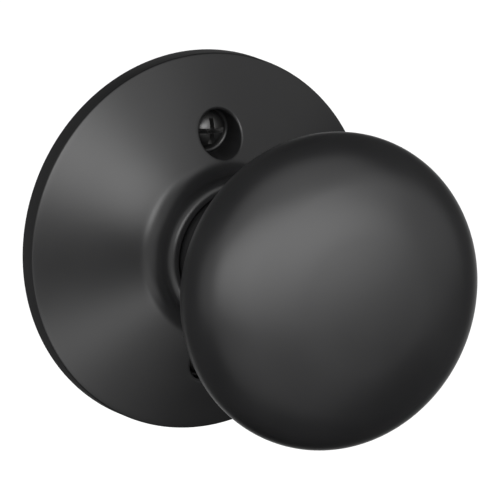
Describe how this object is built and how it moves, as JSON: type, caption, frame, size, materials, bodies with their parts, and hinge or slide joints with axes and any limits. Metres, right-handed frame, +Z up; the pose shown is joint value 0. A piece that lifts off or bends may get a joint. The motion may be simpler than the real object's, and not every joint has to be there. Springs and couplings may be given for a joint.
{
  "type": "door knob",
  "caption": "Round passage door knob with a flattened ball grip on a raised conical rose, bolted through the door, with a square spindle and a spring that brings the knob back.",
  "frame": {"origin": "centre of the rose's door face, on the knob's turning axis", "axes": "the knob stands out from the door along -Y, the spindle and bolts go into the door along +Y, +Z is up, and the two bolts are above and below the axis on Z"},
  "size_m": [0.065, 0.1019, 0.065],
  "materials": {
    "satin_black": "satin",
    "black_steel": "satin",
    "zinc_plated_steel": "satin",
    "spring_steel": "satin",
    "cast_zinc": "matte",
    "sintered_bronze": "matte",
    "black_acetal": "satin"
  },
  "bodies": {
    "trim": {"rose": "satin_black", "mounting_plate": "zinc_plated_steel", "spring_cage": "zinc_plated_steel", "cage_rivets": "zinc_plated_steel", "return_spring": "spring_steel", "neck_bushing": "black_acetal", "tail_bushing": "sintered_bronze", "through_bolts": "black_steel"},
    "knob": {"knob_front_shell": "satin_black", "knob_back_shell": "satin_black", "knob_hub": "cast_zinc", "hub_screw": "zinc_plated_steel", "hub_washer": "spring_steel", "shank_sleeve": "satin_black", "shank_core": "cast_zinc", "spindle": "zinc_plated_steel", "spindle_pin": "spring_steel", "spring_driver": "zinc_plated_steel", "thrust_washer": "zinc_plated_steel", "wave_washer": "spring_steel", "retaining_ring": "spring_steel"}
  },
  "joints": [
    {"name": "knob_turn", "type": "hinge", "parent": "trim", "child": "knob", "pos_m": [0, 0, 0], "axis": [0, -1, 0], "range_deg": [-60, 60], "stiffness_Nm_per_rad": 0.5, "deforming": ["return_spring"]}
  ]
}
